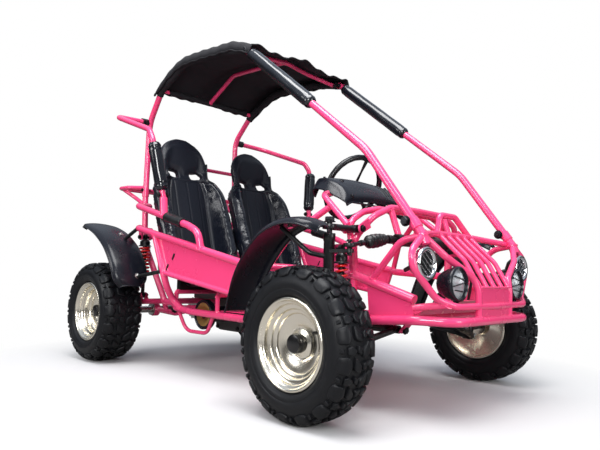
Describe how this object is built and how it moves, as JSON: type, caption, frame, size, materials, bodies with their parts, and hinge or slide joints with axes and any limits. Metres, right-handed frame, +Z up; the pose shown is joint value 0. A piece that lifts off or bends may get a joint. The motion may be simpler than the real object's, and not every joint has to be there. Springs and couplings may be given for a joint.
{
  "type": "off road go kart",
  "caption": "Tube-framed two-seat off road kart with roll hoop, cloth roof, steered front wheels on sprung arms and a sprung swing arm carrying a live rear axle.",
  "frame": {"origin": "on the ground, in the middle of the kart's length and width", "axes": "+Z up, nose towards -Y, the kart's left side (driver) towards +X"},
  "size_m": [1.0888, 1.7421, 1.3097],
  "materials": {
    "frame_paint": "hot pink gloss powder coat",
    "seat_vinyl": "glossy black vinyl",
    "canopy_cloth": "black coated cloth",
    "moulded_black": "moulded black plastic",
    "lamp_chrome": "bright plated",
    "engine_metal": "dark grey castings",
    "black_metal": "satin black paint",
    "bare_steel": "bare steel",
    "rim_metal": "bright silver",
    "spring_paint": "red gloss paint",
    "tyre": "black rubber"
  },
  "bodies": {
    "chassis": {"lower_frame": "frame_paint", "side_frame_right": "frame_paint", "side_frame_left": "frame_paint", "nose_frame": "frame_paint", "tower_frame": "frame_paint", "roll_hoop": "frame_paint", "pillar_right": "frame_paint", "pillar_left": "frame_paint", "guard_bar_right": "frame_paint", "guard_bar_left": "frame_paint", "rear_rack": "frame_paint", "floor_pan": "frame_paint", "seat_right": "seat_vinyl", "seat_left": "seat_vinyl", "canopy": "canopy_cloth", "rear_fender_right": "moulded_black", "rear_fender_left": "moulded_black", "dash_cowl": "moulded_black", "upper_lamp_right": "lamp_chrome", "lower_lamp_right": "moulded_black", "upper_lamp_left": "lamp_chrome", "lower_lamp_left": "moulded_black", "engine": "engine_metal", "rack_housing": "black_metal"},
    "steering_wheel": {"steering_wheel": "moulded_black"},
    "steering_rack": {"steering_rack": "bare_steel"},
    "swing_arm": {"swing_arm": "frame_paint"},
    "rear_axle": {"rear_axle": "bare_steel", "rear_tyre_right": "tyre", "rear_tyre_left": "tyre"},
    "brake_pedal": {"brake_pedal": "black_metal"},
    "throttle_pedal": {"throttle_pedal": "black_metal"},
    "lower_arm_right": {"lower_arm_right": "black_metal"},
    "king_pin_right": {"king_pin_right": "bare_steel"},
    "knuckle_right": {"knuckle_right": "black_metal", "front_fender_right": "moulded_black"},
    "upper_arm_right": {"upper_arm_right": "black_metal"},
    "track_rod_right": {"track_rod_right": "black_metal"},
    "front_wheel_right": {"front_tyre_right": "tyre", "front_rim_right": "rim_metal"},
    "front_shock_right_body": {"front_shock_right_body": "black_metal", "front_shock_right_spring": "spring_paint"},
    "rear_shock_right_body": {"rear_shock_right_body": "black_metal", "rear_shock_right_spring": "spring_paint"},
    "front_shock_right_rod": {"front_shock_right_rod": "bare_steel"},
    "rear_shock_right_rod": {"rear_shock_right_rod": "bare_steel"},
    "lower_arm_left": {"lower_arm_left": "black_metal"},
    "king_pin_left": {"king_pin_left": "bare_steel"},
    "knuckle_left": {"knuckle_left": "black_metal", "front_fender_left": "moulded_black"},
    "upper_arm_left": {"upper_arm_left": "black_metal"},
    "track_rod_left": {"track_rod_left": "black_metal"},
    "front_wheel_left": {"front_tyre_left": "tyre", "front_rim_left": "rim_metal"},
    "front_shock_left_body": {"front_shock_left_body": "black_metal", "front_shock_left_spring": "spring_paint"},
    "rear_shock_left_body": {"rear_shock_left_body": "black_metal", "rear_shock_left_spring": "spring_paint"},
    "front_shock_left_rod": {"front_shock_left_rod": "bare_steel"},
    "rear_shock_left_rod": {"rear_shock_left_rod": "bare_steel"}
  },
  "joints": [
    {"name": "steering", "type": "hinge", "parent": "chassis", "child": "steering_wheel", "pos_m": [0.205, -0.155, 0.735], "axis": [0.1449, 0.8791, 0.4541], "range_deg": [-95, 95]},
    {"name": "rack_travel", "type": "slide", "parent": "chassis", "child": "steering_rack", "axis": [1, 0, 0], "range_m": [-0.024, 0.024]},
    {"name": "lower_arm_right_swing", "type": "hinge", "parent": "chassis", "child": "lower_arm_right", "pos_m": [-0.165, -0.57, 0.228], "axis": [0, 1, 0], "range_deg": [-5, 6], "stiffness_Nm_per_rad": 1600, "springref_deg": -4.34},
    {"name": "king_pin_right_tilt", "type": "hinge", "parent": "lower_arm_right", "child": "king_pin_right", "pos_m": [-0.388, -0.57, 0.17], "axis": [0, 1, 0], "range_deg": [-8, 8]},
    {"name": "knuckle_right_turn", "type": "hinge", "parent": "king_pin_right", "child": "knuckle_right", "pos_m": [-0.388, -0.57, 0.17], "axis": [0, 0, 1], "range_deg": [-20, 20]},
    {"name": "front_wheel_right_spin", "type": "hinge", "parent": "knuckle_right", "child": "front_wheel_right", "pos_m": [-0.48, -0.57, 0.203], "axis": [1, 0, 0], "continuous": true},
    {"name": "upper_arm_right_swing", "type": "hinge", "parent": "chassis", "child": "upper_arm_right", "pos_m": [-0.292, -0.575, 0.515], "axis": [0, 1, 0], "range_deg": [-20, 20]},
    {"name": "track_rod_right_swing", "type": "hinge", "parent": "steering_rack", "child": "track_rod_right", "pos_m": [-0.214, -0.635, 0.489], "axis": [0, 1, 0], "range_deg": [-20, 20]},
    {"name": "front_shock_right_tilt", "type": "hinge", "parent": "chassis", "child": "front_shock_right_body", "pos_m": [-0.335, -0.57, 0.455], "axis": [0, 1, 0], "range_deg": [-3, 3]},
    {"name": "front_shock_right_stroke", "type": "slide", "parent": "front_shock_right_body", "child": "front_shock_right_rod", "axis": [0, 0, 1], "range_m": [-0.02, 0.022], "deforming": ["front_shock_right_spring"]},
    {"name": "rear_shock_right_tilt", "type": "hinge", "parent": "chassis", "child": "rear_shock_right_body", "pos_m": [-0.3, 0.607, 0.522], "axis": [1, 0, 0], "range_deg": [-3, 3]},
    {"name": "rear_shock_right_stroke", "type": "slide", "parent": "rear_shock_right_body", "child": "rear_shock_right_rod", "axis": [0, 0, 1], "range_m": [-0.03, 0.032], "deforming": ["rear_shock_right_spring"]},
    {"name": "lower_arm_left_swing", "type": "hinge", "parent": "chassis", "child": "lower_arm_left", "pos_m": [0.165, -0.57, 0.228], "axis": [0, -1, 0], "range_deg": [-5, 6], "stiffness_Nm_per_rad": 1600, "springref_deg": -4.34},
    {"name": "king_pin_left_tilt", "type": "hinge", "parent": "lower_arm_left", "child": "king_pin_left", "pos_m": [0.388, -0.57, 0.17], "axis": [0, -1, 0], "range_deg": [-8, 8]},
    {"name": "knuckle_left_turn", "type": "hinge", "parent": "king_pin_left", "child": "knuckle_left", "pos_m": [0.388, -0.57, 0.17], "axis": [0, 0, 1], "range_deg": [-20, 20]},
    {"name": "front_wheel_left_spin", "type": "hinge", "parent": "knuckle_left", "child": "front_wheel_left", "pos_m": [0.48, -0.57, 0.203], "axis": [1, 0, 0], "continuous": true},
    {"name": "upper_arm_left_swing", "type": "hinge", "parent": "chassis", "child": "upper_arm_left", "pos_m": [0.292, -0.575, 0.515], "axis": [0, -1, 0], "range_deg": [-20, 20]},
    {"name": "track_rod_left_swing", "type": "hinge", "parent": "steering_rack", "child": "track_rod_left", "pos_m": [0.214, -0.635, 0.489], "axis": [0, -1, 0], "range_deg": [-20, 20]},
    {"name": "front_shock_left_tilt", "type": "hinge", "parent": "chassis", "child": "front_shock_left_body", "pos_m": [0.335, -0.57, 0.455], "axis": [0, -1, 0], "range_deg": [-3, 3]},
    {"name": "front_shock_left_stroke", "type": "slide", "parent": "front_shock_left_body", "child": "front_shock_left_rod", "axis": [0, 0, 1], "range_m": [-0.02, 0.022], "deforming": ["front_shock_left_spring"]},
    {"name": "rear_shock_left_tilt", "type": "hinge", "parent": "chassis", "child": "rear_shock_left_body", "pos_m": [0.3, 0.607, 0.522], "axis": [1, 0, 0], "range_deg": [-3, 3]},
    {"name": "rear_shock_left_stroke", "type": "slide", "parent": "rear_shock_left_body", "child": "rear_shock_left_rod", "axis": [0, 0, 1], "range_m": [-0.03, 0.032], "deforming": ["rear_shock_left_spring"]},
    {"name": "swing_arm_swing", "type": "hinge", "parent": "chassis", "child": "swing_arm", "pos_m": [0, 0.345, 0.226], "axis": [1, 0, 0], "range_deg": [-5, 6], "stiffness_Nm_per_rad": 9000, "springref_deg": -3.23},
    {"name": "rear_axle_spin", "type": "hinge", "parent": "swing_arm", "child": "rear_axle", "pos_m": [0, 0.66, 0.203], "axis": [1, 0, 0], "continuous": true},
    {"name": "brake_press", "type": "hinge", "parent": "chassis", "child": "brake_pedal", "pos_m": [0.14, -0.655, 0.295], "axis": [1, 0, 0], "range_deg": [0, 22], "stiffness_Nm_per_rad": 6, "springref_deg": -5.73},
    {"name": "throttle_press", "type": "hinge", "parent": "chassis", "child": "throttle_pedal", "pos_m": [0.225, -0.655, 0.295], "axis": [1, 0, 0], "range_deg": [0, 22], "stiffness_Nm_per_rad": 4, "springref_deg": -5.73}
  ],
  "couplings": [
    {"joint": "rack_travel", "follows": "steering", "m_per_rad": 0.0119},
    {"joint": "king_pin_right_tilt", "follows": "lower_arm_right_swing", "ratio": -0.832},
    {"joint": "knuckle_right_turn", "follows": "steering", "ratio": 0.1818},
    {"joint": "upper_arm_right_swing", "follows": "lower_arm_right_swing", "ratio": 2.32},
    {"joint": "track_rod_right_swing", "follows": "lower_arm_right_swing", "ratio": 1.36},
    {"joint": "front_shock_right_tilt", "follows": "lower_arm_right_swing", "ratio": 0.11},
    {"joint": "front_shock_right_stroke", "follows": "lower_arm_right_swing", "m_per_rad": 0.17},
    {"joint": "rear_shock_right_tilt", "follows": "swing_arm_swing", "ratio": -0.195},
    {"joint": "rear_shock_right_stroke", "follows": "swing_arm_swing", "m_per_rad": 0.262},
    {"joint": "king_pin_left_tilt", "follows": "lower_arm_left_swing", "ratio": -0.832},
    {"joint": "knuckle_left_turn", "follows": "steering", "ratio": 0.1818},
    {"joint": "upper_arm_left_swing", "follows": "lower_arm_left_swing", "ratio": 2.32},
    {"joint": "track_rod_left_swing", "follows": "lower_arm_left_swing", "ratio": 1.36},
    {"joint": "front_shock_left_tilt", "follows": "lower_arm_left_swing", "ratio": 0.11},
    {"joint": "front_shock_left_stroke", "follows": "lower_arm_left_swing", "m_per_rad": 0.17},
    {"joint": "rear_shock_left_tilt", "follows": "swing_arm_swing", "ratio": -0.195},
    {"joint": "rear_shock_left_stroke", "follows": "swing_arm_swing", "m_per_rad": 0.262}
  ]
}
